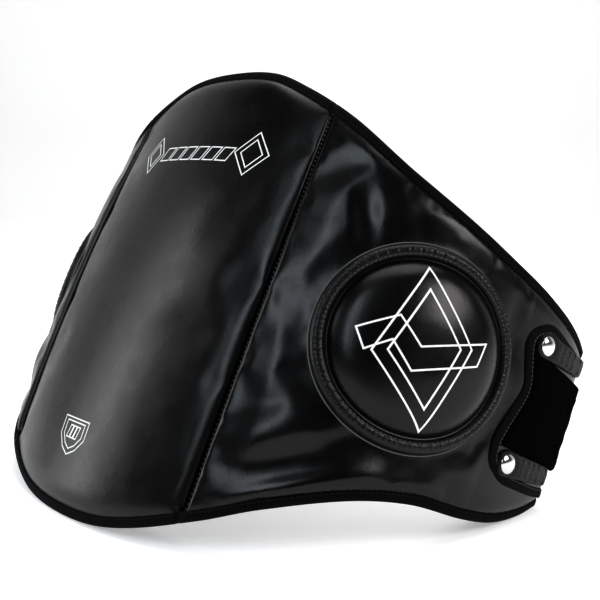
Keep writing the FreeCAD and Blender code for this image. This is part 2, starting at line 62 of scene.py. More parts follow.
TOP_LINE = ((0, 234.5), (46, 232), (82, 221), (122, 205), (178, 179), (242, 161),
            (297, 153), (341, 146), (376, 134))
LOW_LINE = ((0, -93), (44, -90), (82, -80), (125, -62), (157, -45), (204, -24),
            (240, -15), (281, -13.5), (310, -9.6), (339, 0.5), (360, 11.1), (376, 19))
PATCH_FRONT = ((18, 299), (26, 288), (41, 284.5), (58, 289), (72, 294), (86, 297),
               (102, 291), (118, 285.5), (133, 298))

# What only the visual model has
SEAM_MIDDLE, SEAM_REACH = 60.0, 150.0   # height where the seams bow out most, half their span
SEAM_BOW, SEAM_INSET, SEAM_SLANT = 4.5, 2.0, 1.2
SEAM_TOP, SEAM_FOOT = 205.0, -70.0      # heights where a seam meets the edges
HALF_GAP = 0.9                          # from a seam's line to the face on either side of it
GROOVE_TOP, GROOVE_FADE = 215.0, 90.0   # height where the seams' groove has run out
TAPE_COVER = 6.0                        # depth of face that the edge tape covers
FACE_INSET = 1.2                        # the faces end this far inside the pad's outline
PANEL_CROWN, PANEL_ROLL, PANEL_DROP = 4.2, 4.9, 3.6
FAR_SLIM = 1.8                          # the panel is slimmer by this at its right edge
WING_ROLL, WING_DROP, WING_RISE = 4.8, 2.6, 1.6
BESIDE_TAPE = 0.2                       # height of the faces where they go under the tape
# Creases of a wing: line from, line to, half width, height (below 0: a valley)
WING_FOLDS = (
    ((196, 8), (134, -34), 15, -3.6),
    ((188, 24), (128, -12), 17, 2.6),
    ((214, -4), (150, -40), 11, 1.9),
    ((150, 162), (165, 124), 11, -2.6),
    ((172, 160), (182, 136), 14, 0.9),
    ((262, 128), (284, 92), 15, -1.3),
    ((240, 6), (292, -2), 12, -1.0),
)
LINING_ROLL = 30.0                      # width over which the lining reaches full depth
QUILT, QUILT_LINE, QUILT_DEPTH = 30.0, 0.16, 1.3
ROLL_DEPTHS = (14.0, 8.0)               # how far a face turns down into a seam, in two steps
PANEL_ROWS, PANEL_COLS, WING_ROWS, WING_COLS = 84, 81, 76, 96

names = {1: "left", -1: "right"}
bodies = {1: "left_wing", -1: "right_wing"}


def smooth(line, at):
    """Smooth curve through the points of a line, as in the CAD source."""
    xs = np.array([p[0] for p in line], float)
    ys = np.array([p[1] for p in line], float)
    count = len(xs)
    before = np.maximum(np.arange(count) - 1, 0)
    after = np.minimum(np.arange(count) + 1, count - 1)
    slope = (ys[after] - ys[before]) / (xs[after] - xs[before])
    if xs[0] == 0:
        slope[0] = 0.0
    at = np.clip(np.asarray(at, float), xs[0], xs[-1])
    k = np.clip(np.searchsorted(xs, at) - 1, 0, count - 2)
    span = xs[k + 1] - xs[k]
    t = (at - xs[k]) / span
    return ((1 + 2 * t) * (1 - t) ** 2 * ys[k] + t * (1 - t) ** 2 * span * slope[k]
            + t * t * (3 - 2 * t) * ys[k + 1] + t * t * (t - 1) * span * slope[k + 1])


def top_at(s):
    return smooth(TOP_LINE, np.abs(s))


def low_at(s):
    return smooth(LOW_LINE, np.abs(s))


def plan_arcs(last_rad):
    """Start length, start heading, radius and middle of each arc of the plan line."""
    rads = (FRONT_RAD, SIDE_RAD, REAR_RAD, last_rad)
    cx, cy = 0.0, FRONT_RAD
    start, length = 0.0, 0.0
    rows = []
    for k, rad in enumerate(rads):
        if k:
            turn = math.radians(start)
            cx += (rads[k - 1] - rad) * math.sin(turn)
            cy -= (rads[k - 1] - rad) * math.cos(turn)
        rows.append((length, math.radians(start), rad, cx, cy))
        length += math.radians(ENDS[k] - start) * rad
        start = ENDS[k]
    return np.array(rows), length


PLAN, PLAN_END = plan_arcs(BACK_RAD)
LAP_PLAN, LAP_END = plan_arcs(LAP_RAD)


def place(s, off, h, lap=False):
    """Points of the standing pad in metres, for arrays of s, off and h."""
    s, off, h = np.broadcast_arrays(np.asarray(s, float), np.asarray(off, float),
                                    np.asarray(h, float))
    rows, end = (LAP_PLAN, LAP_END) if lap else (PLAN, PLAN_END)
    run = np.abs(s)
    k = np.clip(np.searchsorted(rows[:, 0], run, side="right") - 1, 0, 3)
    turn = rows[k, 1] + np.minimum(run, end) / rows[k, 2] - rows[k, 0] / rows[k, 2]
    reach = rows[k, 2] + off
    x = rows[k, 3] + reach * np.sin(turn) - np.maximum(run - end, 0.0)
    depth = rows[k, 4] - reach * np.cos(turn)
    swing = BOW - depth
    tilt = h / BOW
    y1 = BOW - swing * np.cos(tilt)
    z1 = swing * np.sin(tilt)
    y = y1 * math.cos(LEAN) + z1 * math.sin(LEAN) + SHIFT
    z = -y1 * math.sin(LEAN) + z1 * math.cos(LEAN) + LIFT
    return np.stack([np.where(s < 0, -x, x), y, z], -1) / 1000.0


def plan_turn(s):
    """Heading of the plan line at s, in radians."""
    k = np.clip(np.searchsorted(PLAN[:, 0], np.abs(s), side="right") - 1, 0, 3)
    return PLAN[k, 1] + (np.abs(s) - PLAN[k, 0]) / PLAN[k, 2]


def level_cut(s, off):
    """Rise of the low edge behind the face, so that the leaning pad stands level."""
    return np.maximum(-off * math.tan(LEAN) * np.cos(plan_turn(s)), 0)


def bump(x, width):
    """One at 0, falling smoothly to nothing at the width."""
    t = np.clip(np.abs(x) / width, 0, 1)
    return (1 - t * t) ** 2


def roll(d, width):
    """Quarter-round edge: 0 at the edge, 1 once the distance in reaches the width."""
    t = 1 - np.clip(d / width, 0, 1)
    return np.sqrt(np.maximum(1 - t * t, 0))


def fold(s, h, a, b, width, height):
    """Soft ridge (height above 0) or valley along the line a-b, fading at its ends."""
    run_s, run_h = b[0] - a[0], b[1] - a[1]
    length = math.hypot(run_s, run_h)
    along = ((s - a[0]) * run_s + (h - a[1]) * run_h) / length ** 2
    aside = ((s - a[0]) * run_h - (h - a[1]) * run_s) / length
    ends = bump(np.clip(along - 0.5, -0.75, 0.75) / 0.75, 1.0)
    return height * bump(aside, width) * ends


def from_target(s, h):
    return np.hypot(s - TARGET_S, h - TARGET_H)


def seam_at(h):
    """Distance of a seam from the panel's middle: it bows out a little half way up."""
    t = np.clip((np.asarray(h, float) - SEAM_MIDDLE) / SEAM_REACH, -1.2, 1.2)
    return SEAM + SEAM_BOW * (1 - t * t) - SEAM_INSET - SEAM_SLANT * t


def groove(h, least):
    """Depth of the seams' groove as a share, from 1 down to the least at the top."""
    return np.clip((GROOVE_TOP - h) / GROOVE_FADE, least, 1.0)


def edge_share(s, h, width):
    """Rise of the stuffed face away from the taped edges."""
    up = roll(top_at(s) - h - TAPE_COVER, width)
    down = roll(h - low_at(s) - TAPE_COVER, width)
    return up * down


def panel_relief(s, h):
    """Height of the front panel's face over the CAD face."""
    half = seam_at(h) - HALF_GAP
    deep = groove(h, 0.15)
    crown = PANEL_CROWN * (1 - np.clip(np.abs(s) / half, 0, 1) ** 2.4)
    side = (PANEL_ROLL * roll(half - np.abs(s), 9.0) - PANEL_DROP) * deep + 0.9 * (1 - deep)
    slim = np.where(s < 0, FAR_SLIM, 0.0) * np.clip(-s / half, 0, 1) ** 2
    rise = edge_share(s, h, 16.0)
    return (crown + side - slim) * rise + (1 - rise) * BESIDE_TAPE


def wing_relief(s, h):
    """Height of a wing's face over the CAD face, with the creases round the target."""
    d = s - (seam_at(h) + HALF_GAP)
    edge = edge_share(s, h, 11.0) * roll(WING_END + 4 - s, 14.0)
    deep = groove(h, 0.3)
    face = WING_ROLL * roll(d, 5.0) * deep - WING_DROP * deep
    face = face + WING_RISE * np.clip(d / 60.0, 0, 1)
    face = face - 0.9 * bump(d - 15, 12) * deep
    face = face - 1.6 * bump(from_target(s, h) - 68, 16)
    for start, end, width, height in WING_FOLDS:
        face = face + fold(s, h, start, end, width, height)
    return face * edge + (1 - edge) * BESIDE_TAPE


def valley(s, h):
    """Bottom of the seams' groove."""
    return -1.2 - PANEL_DROP * groove(h, 0.15) * edge_share(seam_at(h), h, 12.0)


def crest(s, h):
    """Top of the cord that lies in the groove."""
    return valley(s, h) + 1.3


def level(height):
    """A face that is flat at one height over the CAD face."""
    return lambda s, h: height + 0.0 * np.asarray(s)

# ------------------------------------------------------------------ materials
def tone(value, tint=(1, 1, 1)):
    return (value * tint[0], value * tint[1], value * tint[2], 1)


class Looks:
    """One material, with short names for the nodes that build it."""

    def __init__(self, name):
        self.mat = bpy.data.materials.new(name)
        self.mat.use_nodes = True
        self.tree = self.mat.node_tree
        self.shader = self.tree.nodes["Principled BSDF"]
        self.place = self.node("ShaderNodeTexCoord").outputs["Object"]
        self.height = None

    def node(self, kind, inputs=None, **settings):
        """New node with its settings, and the values of inputs that nothing is linked to."""
        made = self.tree.nodes.new(kind)
        for key, value in settings.items():
            setattr(made, key, value)
        for key, value in (inputs or {}).items():
            made.inputs[key].default_value = value
        return made

    def link(self, a, b):
        self.tree.links.new(a, b)

    def noise(self, scale, detail=3.0, rough=0.55, stretch=None):
        made = self.node("ShaderNodeTexNoise",
                         {"Scale": scale, "Detail": detail, "Roughness": rough})
        place = self.place
        if stretch is not None:
            scaled = self.node("ShaderNodeMapping", {"Scale": stretch})
            self.link(place, scaled.inputs["Vector"])
            place = scaled.outputs["Vector"]
        self.link(place, made.inputs["Vector"])
        return made.outputs["Fac"]

    def cells(self, scale):
        made = self.node("ShaderNodeTexVoronoi", {"Scale": scale}, feature="DISTANCE_TO_EDGE")
        self.link(self.place, made.inputs["Vector"])
        return made.outputs["Distance"]

    def ramp(self, value, low, high, a, b):
        """Value from a to b as the given one goes from low to high."""
        made = self.node("ShaderNodeMapRange",
                         {"From Min": low, "From Max": high, "To Min": a, "To Max": b})
        self.link(value, made.inputs["Value"])
        return made.outputs["Result"]

    def colour(self, value, a, b):
        """Base colour, from a to b as the value goes from 0 to 1."""
        made = self.node("ShaderNodeMix", {"A": a, "B": b}, data_type="RGBA")
        self.link(value, made.inputs["Factor"])
        self.link(made.outputs["Result"], self.shader.inputs["Base Color"])

    def gloss(self, value, a, b):
        """Roughness, from a to b over the middle of the value's range."""
        self.link(self.ramp(value, 0.3, 0.7, a, b), self.shader.inputs["Roughness"])

    def raise_by(self, value, distance, strength):
        """One more bump, on top of those already there."""
        made = self.node("ShaderNodeBump", {"Distance": distance, "Strength": strength})
        self.link(value, made.inputs["Height"])
        if self.height is not None:
            self.link(self.height, made.inputs["Normal"])
        self.height = made.outputs["Normal"]
        self.link(self.height, self.shader.inputs["Normal"])

    def set(self, **values):
        sockets = {"rough": "Roughness", "metal": "Metallic", "level": "Specular IOR Level",
                   "glow": "Emission Strength", "glow_tone": "Emission Color"}
        for key, value in values.items():
            self.shader.inputs[sockets[key]].default_value = value


def leather(name, dark, light, rough, grain=1.0, tint=(1.0, 0.985, 0.97), level=0.33):
    """Leather: cloudy colour, patchy gloss, and bumps from soft dents down to fine tooth."""
    look = Looks(name)
    look.colour(look.noise(16, 4), tone(dark, tint), tone(light, tint))
    look.gloss(look.noise(45, 3), rough - 0.035, rough + 0.045)
    look.set(level=level)
    look.raise_by(look.noise(60, 3, 0.5), 0.0004, 0.3)
    look.raise_by(look.noise(330, 3, 0.6), 0.00014, 0.35 * grain)
    look.raise_by(look.cells(800), 0.00012, 0.5 * grain)
    look.raise_by(look.noise(1500, 2, 0.6), 0.00004, 0.6 * grain)
    return look.mat


def woven(name, dark, light, rough, scale=900.0, lift=0.00012):
    look = Looks(name)
    weave = look.node("ShaderNodeTexWave", {"Scale": scale / 3.0, "Distortion": 1.2},
                      wave_type="BANDS", bands_direction="DIAGONAL")
    look.link(look.place, weave.inputs["Vector"])
    cloud = look.noise(scale, 2)
    look.colour(cloud, tone(dark), tone(light))
    look.set(rough=rough, level=0.06)
    look.raise_by(weave.outputs["Fac"], lift, 0.6)
    look.raise_by(cloud, lift, 0.7)
    return look.mat


def pile(name, dark, light):
    look = Looks(name)
    tuft = look.noise(1100, 3, 0.7)
    clump = look.noise(160, 3, 0.6)
    look.colour(look.ramp(tuft, 0.35, 0.7, 0, 1), tone(dark), tone(light))
    look.set(rough=0.95, level=0.01)
    look.raise_by(clump, 0.0009, 0.6)
    look.raise_by(tuft, 0.0006, 1.0)
    return look.mat


def metal(name):
    look = Looks(name)
    scratch = look.noise(300, 4, 0.7, (1, 8, 1))
    look.colour(scratch, tone(0.62), tone(0.8))
    look.gloss(scratch, 0.12, 0.24)
    look.set(metal=1.0)
    look.raise_by(look.noise(900, 2), 0.00003, 0.4)
    return look.mat


def paint(name, value):
    look = Looks(name)
    wear = look.noise(700, 3, 0.6)
    look.colour(look.ramp(wear, 0.3, 0.5, 0, 1), tone(value * 0.82), tone(value))
    look.set(rough=0.5, level=0.4)
    look.raise_by(wear, 0.00004, 0.5)
    return look.mat


LEATHER = leather("leather_pad", 0.0014, 0.0026, 0.28, tint=(1.0, 0.96, 0.98))
LEATHER_WING = leather("leather_wing", 0.0012, 0.0022, 0.26, tint=(0.94, 0.98, 1.06))
LEATHER_TARGET = leather("leather_target", 0.0012, 0.0022, 0.27, tint=(0.96, 0.98, 1.03))
LEATHER_TRIM = leather("leather_trim", 0.0018, 0.0034, 0.36, 1.8)
LEATHER_ARM = leather("leather_arm", 0.0012, 0.0022, 0.42, 2.2, level=0.17)
RAW_EDGE = leather("leather_raw_edge", 0.10, 0.20, 0.6)
TAPE = woven("edge_tape", 0.0014, 0.0034, 0.7)
# Thread for the seams, the target rings, the patch borders and the arms: its light grey is
# partly the thread's own colour and partly a painted highlight for the light that the stitches
# catch.
THREAD_WITH_PAINTED_HIGHLIGHT = woven("thread", 0.05, 0.11, 0.45, 2500.0, 0.00005)
TAPE_THREAD = woven("tape_thread", 0.007, 0.014, 0.6, 2500.0, 0.00005)
WEBBING = woven("webbing", 0.022, 0.040, 0.7, 600.0, 0.0002)
LINING = woven("lining_nylon", 0.045, 0.075, 0.62, 1400.0, 0.00007)
VELVET = pile("velvet_loop", 0.0008, 0.0030)
HOOKS = pile("hook_tape", 0.003, 0.009)
CHROME = metal("rivet_nickel")
PRINT = paint("white_print", 0.93)

# ------------------------------------------------------------------ mesh helpers
def make(name, points, faces, material):
    mesh = bpy.data.meshes.new(name)
    mesh.from_pydata([tuple(p) for p in points], [], faces)
    mesh.validate()
    mesh.polygons.foreach_set("use_smooth", [True] * len(mesh.polygons))
    mesh.materials.append(material)
    mesh.update()
    item = bpy.data.objects.new(name, mesh)
    bpy.context.scene.collection.objects.link(item)
    return item


def fit(item, body, slot, *cad):
    """Put a piece on its body, in place of the CAD nodes named, which are hidden. The slot is
    not used.
    """
    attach(item, body)
    if cad:
        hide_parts(*cad)


def soften(item):
    sub = item.modifiers.new("soft", "SUBSURF")
    sub.levels = 1
    sub.render_levels = 1


def grid_faces(rows, cols, wrap_rows=False, wrap_cols=False, flip=False, base=0):
    """Quads of a grid of points, which face along (column step) x (row step)."""
    faces = []
    for i in range(rows if wrap_rows else rows - 1):
        for j in range(cols if wrap_cols else cols - 1):
            a = base + i * cols + j
            b = base + i * cols + (j + 1) % cols
            c = base + ((i + 1) % rows) * cols + (j + 1) % cols
            d = base + ((i + 1) % rows) * cols + j
            faces.append((a, d, c, b) if flip else (a, b, c, d))
    return faces


def tube_faces(rows, cols, flip, base=0):
    """Faces of a closed sweep: its skin, ring by ring, and a face on each end."""
    first = [base + k for k in range(cols)]
    last = [base + (rows - 1) * cols + k for k in range(cols)]
    ends = [first, last[::-1]] if flip else [first[::-1], last]
    return grid_faces(rows, cols, wrap_cols=True, flip=flip, base=base) + ends


def sheet(name, s, off, h, material, side=1, wrap_cols=False, swapped=False):
    """Grid of points in pad coordinates. It faces outward if s runs along its rows and h
    from row to row, and with swapped if it is the other way round."""
    points = place(s * side, off, h)
    rows, cols = points.shape[:2]
    faces = grid_faces(rows, cols, wrap_cols=wrap_cols, flip=(side < 0) != swapped)
    return make(name, points.reshape(-1, 3), faces, material)


def ease(count, power):
    """Numbers from 0 to 1 that crowd towards both ends, the more the higher the power."""
    t = np.linspace(0, 1, count)
    return (1 - power) * t + power * (0.5 - 0.5 * np.cos(math.pi * t))


def unit(steps):
    return steps / np.linalg.norm(steps, axis=1)[:, None]


def leftward(steps):
    """Each step turned a quarter to the left."""
    return np.stack([-steps[:, 1], steps[:, 0]], 1)


def strip(name, path, profile, relief, material, side, closed=False):
    """Sweep a cross-section (across, off), which runs from left to right over the top,
    along a path of (s, h) points on a face."""
    path = np.array(path, float)
    ahead = np.roll(path, -1, 0)
    behind = np.roll(path, 1, 0)
    if not closed:
        ahead[-1] = path[-1]
        behind[0] = path[0]
    across = leftward(unit(ahead - behind))
    profile = np.array(profile, float)
    s = path[:, None, 0] + across[:, None, 0] * profile[None, :, 0]
    h = path[:, None, 1] + across[:, None, 1] * profile[None, :, 0]
    off = relief(s, h) + profile[None, :, 1]
    rows, cols = s.shape
    if closed:
        faces = grid_faces(rows, cols, wrap_rows=True, wrap_cols=True, flip=side < 0)
    else:
        faces = tube_faces(rows, cols, flip=side < 0)
    return make(name, place(s * side, off, h).reshape(-1, 3), faces, material)


def half_round(width, rise, sink=0.4, count=9):
    """Low rounded cross-section, flat underneath."""
    turn = np.linspace(0, math.pi, count)
    return [(math.cos(t) * width / 2, math.sin(t) * rise - sink) for t in turn]


def resample(path, step):
    """Even points along a path."""
    path = np.array(path, float)
    gaps = np.linalg.norm(np.diff(path, axis=0), axis=1)
    run = np.concatenate([[0], np.cumsum(gaps)])
    count = max(2, int(round(run[-1] / step)) + 1)
    at = np.linspace(0, run[-1], count)
    return np.stack([np.interp(at, run, path[:, k]) for k in range(2)], 1)


STITCH_RINGS = ((-0.5, 0.25), (-0.36, 0.85), (0.0, 1.0), (0.36, 0.85), (0.5, 0.25))
STITCH_AROUND = 6
STITCH_TURN = 0.25      # radians that a slanted stitch is turned


def stitches(name, path, relief, pitch=3.4, length=2.3, width=0.75, rise=0.45, side=1,
             material=THREAD_WITH_PAINTED_HIGHLIGHT, slanted=False):
    """Row of short rounded stitches that follow a path on a face."""
    path = resample(path, pitch)
    middle = (path[1:] + path[:-1]) / 2
    way = unit(path[1:] - path[:-1])
    points, faces = [], []
    for m, w, o in zip(middle, way, leftward(way)):
        lean = w * math.cos(STITCH_TURN) + o * math.sin(STITCH_TURN) * slanted
        faces += tube_faces(len(STITCH_RINGS), STITCH_AROUND, side < 0, len(points))
        for share, thick in STITCH_RINGS:
            for k in range(STITCH_AROUND):
                turn = 2 * math.pi * k / STITCH_AROUND
                spot = m + lean * share * length + o * math.cos(turn) * thick * width / 2
                height = relief(spot[0], spot[1]) + math.sin(turn) * thick * rise + 0.12
                points.append((spot[0], height, spot[1]))
    flat = np.array(points)
    return make(name, place(flat[:, 0] * side, flat[:, 1], flat[:, 2]), faces, material)

# ------------------------------------------------------------------ stuffed faces
CLOTH_STEPS = 20


def stuff(item, pinned, cap, pressure, slack):
    """Cloth simulation of a stuffed face, cut a little too large by a share (slack): its
    sewn edges stay, the rest swells under pressure, and no point moves past the cap (mm)."""
    group = item.vertex_groups.new(name="sewn")
    for index, weight in enumerate(pinned):
        if weight > 0:
            group.add([index], float(weight), "REPLACE")
    rest = np.array([v.co for v in item.data.vertices])
    cloth = item.modifiers.new("stuffing", "CLOTH")
    cloth.settings.quality = 5
    cloth.settings.mass = 0.4
    cloth.settings.vertex_group_mass = "sewn"
    cloth.settings.pin_stiffness = 1.0
    cloth.settings.use_pressure = True
    cloth.settings.uniform_pressure_force = pressure
    cloth.settings.tension_stiffness = 40
    cloth.settings.compression_stiffness = 40
    cloth.settings.bending_stiffness = 30.0
    cloth.settings.shrink_min = -slack
    cloth.settings.effector_weights.gravity = 0
    cloth.collision_settings.use_collision = False
    cloth.point_cache.frame_start = 1
    cloth.point_cache.frame_end = CLOTH_STEPS
    scene = bpy.context.scene
    for step in range(1, CLOTH_STEPS + 1):
        scene.frame_set(step)
    seen = item.evaluated_get(bpy.context.evaluated_depsgraph_get())
    moved = np.array([v.co for v in seen.data.vertices]) - rest
    far = np.linalg.norm(moved, axis=1)
    limit = cap / 1000.0
    share = np.where(far > 1e-9, limit * np.tanh(far / limit) / np.maximum(far, 1e-9), 0)
    item.modifiers.remove(cloth)
    scene.frame_set(1)
    final = rest + moved * share[:, None]
    item.data.vertices.foreach_set("co", final.astype(np.float32).ravel())
    item.data.update()


def face_grid(shares, line_at, relief, edge, edge_width, rolled):
    """Points of a stuffed face, in rows from its low edge to its top edge. The places in a
    row follow the seam at the row's height; rolled lists columns turned down, with depths."""
    rows = []
    for share in shares:
        height = SEAM_MIDDLE
        for _ in range(3):
            seam = float(seam_at(height))
            line = line_at(seam)
            low, top = low_at(line) + FACE_INSET, top_at(line) - FACE_INSET
            height = float(low[0] + (top[0] - low[0]) * share)
        heights = low + (top - low) * share
        off = relief(line, heights)
        deep = edge_share(seam + edge, heights[0], edge_width)
        for column, depth in rolled:
            off[column] = -depth * deep
        rows.append((line, off, heights))
    return np.array(rows).transpose(1, 0, 2)


def panel_grid():
    """The front panel's face, rolled down into the seams on both sides."""
    across = ease(PANEL_COLS, 0.6) * 2 - 1
    deepest, deep = ROLL_DEPTHS

    def line_at(seam):
        half = seam - HALF_GAP
        return np.concatenate([[-half - 0.2, -half - 0.1], across * half,
                               [half + 0.1, half + 0.2]])
    return face_grid(ease(PANEL_ROWS, 0.55), line_at, panel_relief, -HALF_GAP, 15.0,
                     ((0, deepest), (1, deep), (-2, deep), (-1, deepest)))


def wing_grid():
    """A wing's face, from its roll in the seam to the rear edge."""
    across = ease(WING_COLS, 0.25)

    def line_at(seam):
        start = seam + HALF_GAP
        return np.concatenate([[start - 0.2, start - 0.1], start + (WING_END - start) * across,
                               [WING_END + 0.6]])
    s, off, h = face_grid(ease(WING_ROWS, 0.55), line_at, wing_relief, HALF_GAP + 8.0, 11.0,
                          tuple(enumerate(ROLL_DEPTHS)))
    off[:, -1] = -2.0
    return s, off, h


def lifted(s, off, h):
    """Height of a back face: its lowest part is cut level, so that the pad can stand."""
    return h + level_cut(s, off) * np.clip(1 - (h - low_at(s)) / 60.0, 0, 1) ** 1.5


def lining_off(s, h):
    """Back face of the pad: thin at the taped edges, full inside, quilted in diamonds."""
    up = roll(top_at(s) - h - 3.0, LINING_ROLL)
    down = roll(h - low_at(s) - 3.0, LINING_ROLL)
    side = roll(np.maximum(np.abs(np.abs(s) - seam_at(h)) - 2.0, 0) + 2.0, 14.0)
    full = WALL + (FULL - WALL + 0.5) * up * down * side
    waves = [np.sin(d * math.pi / (QUILT * 1.41)) for d in (s + h, s - h)]
    lines = sum(np.exp(-(wave / QUILT_LINE) ** 2) for wave in waves)
    return -full + QUILT_DEPTH * np.minimum(lines, 1.0) * up * down


def rear_sheet(name, s, off, h, side=1):
    """A sheet of lining that faces the wearer."""
    return sheet(name, s[:, ::-1], off[:, ::-1], lifted(s, off, h)[:, ::-1], LINING, side)


def stuffed_front():
    s, off, h = panel_grid()
    skin = sheet("panel_skin", s, off, h, LEATHER)
    sewn = np.maximum(1 - edge_share(s, h, 10.0),
                      1 - roll(seam_at(h) - HALF_GAP - np.abs(s), 10.0))
    sewn[0], sewn[-1] = 1, 1
    stuff(skin, sewn.ravel(), 1.6, 3.0, 0.0015)
    fit(skin, "front_panel", "leather", "panel_cover", "panel_foam")
    soften(skin)
    back = rear_sheet("panel_back", s, lining_off(s, h), h)
    fit(back, "front_panel", "lining", "panel_lining")
    soften(back)
    return skin


def stuffed_wing(side):
    who = names[side]
    s, off, h = wing_grid()
    skin = sheet(who + "_wing_skin", s, off, h, LEATHER_WING, side)
    sewn = 1 - edge_share(s, h, 9.0) * roll(s - seam_at(h) - 3, 9.0) * roll(WING_END - s, 12.0)
    sewn = np.maximum(sewn, (from_target(s, h) < 66) * 1.0)
    sewn = np.maximum(sewn, (s > 280) * 1.0)
    sewn[0], sewn[-1] = 1, 1
    stuff(skin, sewn.ravel(), 1.8, 2.5, 0.004)
    fit(skin, bodies[side], "leather", who + "_wing_cover", who + "_wing_foam")
    soften(skin)
    back = rear_sheet(who + "_wing_back", s, lining_off(s, h), h, side)
    fit(back, bodies[side], "lining", who + "_wing_lining")
    soften(back)


panel_skin = stuffed_front()
for side in (1, -1):
    stuffed_wing(side)

# ------------------------------------------------------------------ edge tape
TAPE_RISE, TAPE_STITCH_INSET = 1.95, 5.4
TAPE_GAP = 1.5          # from a seam to the end of each tape; a short link covers the gap
LINK_HALF, BLEND_HALF = 2.6, 1.6


def tape_profile():
    """Folded tape in section: (off, distance in from the edge line), front to back."""
    front = [(0.5, 7.6), (1.5, 7.2), (1.9, 5.5), (2.0, 3.4), (1.8, 1.4)]
    turn = [(0.7, 0.15), (-2.0, -0.45), (-WALL / 2, -0.7), (-WALL + 2.0, -0.45)]
    back = [(-WALL - 0.9, 0.15), (-WALL - 2.0, 1.5), (-WALL - 2.2, 3.6), (-WALL - 2.0, 7.0),
            (-WALL - 0.4, 7.6)]
    inner = [(-WALL + 1.5, 7.4), (-WALL + 1.5, 3.0), (-1.5, 3.0), (-1.5, 7.4)]
    return np.array(front + turn + back + inner)


def edge_tape(name, start, stop, count, edge, side=1, tuck=0.0):
    """Tape folded over the top edge (edge 1) or the low edge (-1), from start to stop."""
    profile = tape_profile()
    profile[:, 1] += tuck
    profile[:, 0] -= tuck * np.sign(profile[:, 0] + WALL / 2)
    stations = np.linspace(start, stop, count)
    s = np.repeat(stations[:, None], len(profile), 1)
    off = np.repeat(profile[None, :, 0], count, 0)
    rise = np.repeat(profile[None, :, 1], count, 0)
    wave = 0.12 * np.sin(stations * 1.9) + 0.1 * np.sin(stations * 0.71 + 1.0)
    rise = rise + wave[:, None] * (rise > 5)
    if edge > 0:
        h = top_at(s) - rise
    else:
        h = low_at(s) + np.maximum(rise, 0.0) + level_cut(s, off)
    faces = tube_faces(count, len(profile), flip=(side > 0) == (edge > 0))
    return make(name, place(s * side, off, h).reshape(-1, 3), faces, TAPE)


def tape_stitches(name, start, stop, edge, side=1):
    s = np.linspace(start, stop, max(3, int(abs(stop - start) / 3.0)))
    h = top_at(s) - TAPE_STITCH_INSET if edge > 0 else low_at(s) + TAPE_STITCH_INSET
    return stitches(name, np.stack([s, h], 1), level(TAPE_RISE), 3.2, side=side,
                    material=TAPE_THREAD)


def taped_edge(edge, word):
    """Tapes of the panel and both wings along one edge, and the links over the seams."""
    seam = float(seam_at(SEAM_TOP if edge > 0 else SEAM_FOOT))
    name = "panel_%s_tape" % word
    tape = edge_tape(name + "_trim", TAPE_GAP - seam, seam - TAPE_GAP, 90, edge)
    fit(tape, "front_panel", "tape", name)
    row = tape_stitches(name + "_stitches", 3 - seam, seam - 3, edge)
    fit(row, "front_panel", "tape")
    for side in (1, -1):
        name = "%s_wing_%s_tape" % (names[side], word)
        tape = edge_tape(name + "_trim", seam + TAPE_GAP, WING_END + 0.8, 110, edge, side)
        fit(tape, bodies[side], "tape", name)
        row = tape_stitches(name + "_stitches", seam + 3, WING_END - 2, edge, side)
        fit(row, bodies[side], "tape")
        link = edge_tape(name + "_link", seam - LINK_HALF, seam + LINK_HALF, 9, edge, side, 0.3)
        height = float(top_at(seam) if edge > 0 else low_at(seam))
        ends = place(np.array([seam - BLEND_HALF, seam + BLEND_HALF]) * side, -3.0, height)
        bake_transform(link)


def end_tape(side):
    """Tape folded over a wing's rear edge, as (past the edge, off) in section."""
    profile = np.array([(-0.5, -2.0), (0.7, -1.8), (1.5, -4.0), (1.8, -WALL / 2 - 1),
                        (1.5, -WALL), (0.6, -WALL - 2.0), (-6.5, -WALL - 2.6),
                        (-7.0, -WALL - 1.0), (-0.5, -WALL)])
    heights = np.linspace(float(low_at(WING_END)) + 0.5, float(top_at(WING_END)) - 0.5, 40)
    s = WING_END + np.repeat(profile[None, :, 0], len(heights), 0)
    off = np.repeat(profile[None, :, 1], len(heights), 0)
    h = np.repeat(heights[:, None], len(profile), 1)
    tape = sheet(names[side] + "_wing_end_trim", s, off, h, TAPE, side, wrap_cols=True)
    fit(tape, bodies[side], "tape", names[side] + "_wing_end_tape")


for edge, word in ((1, "top"), (-1, "low")):
    taped_edge(edge, word)
for side in (1, -1):
    end_tape(side)

# ------------------------------------------------------------------ seams
def seam_pieces(side):
    """Cord and stitches in the groove, and two cloths behind it."""
    who = names[side]
    heights = np.linspace(float(low_at(SEAM)) + 5, float(top_at(SEAM)) - 5, 110)
    line = np.stack([seam_at(heights), heights], 1)
    cord = strip(who + "_seam_cord", line, half_round(1.7, 1.1), valley, TAPE, side)
    fit(cord, "front_panel", "thread_channel", who + "_seam_welt")
    row = stitches(who + "_seam_stitches", line, crest, 3.1, 1.7, 1.1, 0.7, side, slanted=True)
    fit(row, "front_panel", "thread_channel")

    across = np.linspace(0, 1, 9)
    h = np.repeat(heights[:, None], len(across), 1)
    seam = seam_at(heights)[:, None]
    sag = np.sin(math.pi * across)
    s = seam - LINK_HALF + 2 * LINK_HALF * across
    off = -9.5 * edge_share(seam_at(heights), heights, 12.0)[:, None] - 1.5 * sag
    bridge = sheet(who + "_seam_bridge", s, off, lifted(s, off, h), LINING, side)
    s = seam - 3.0 + 6.0 * across
    off = -(WALL + 4.0) - 0.8 * sag + 0.0 * h
    gusset = rear_sheet(who + "_seam_gusset", s, off, h, side)
    ends = place(np.array([SEAM - LINK_HALF, SEAM + LINK_HALF]) * side, -9.0, 66.0)
    for cloth in (bridge, gusset):
        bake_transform(cloth)


for side in (1, -1):
    seam_pieces(side)

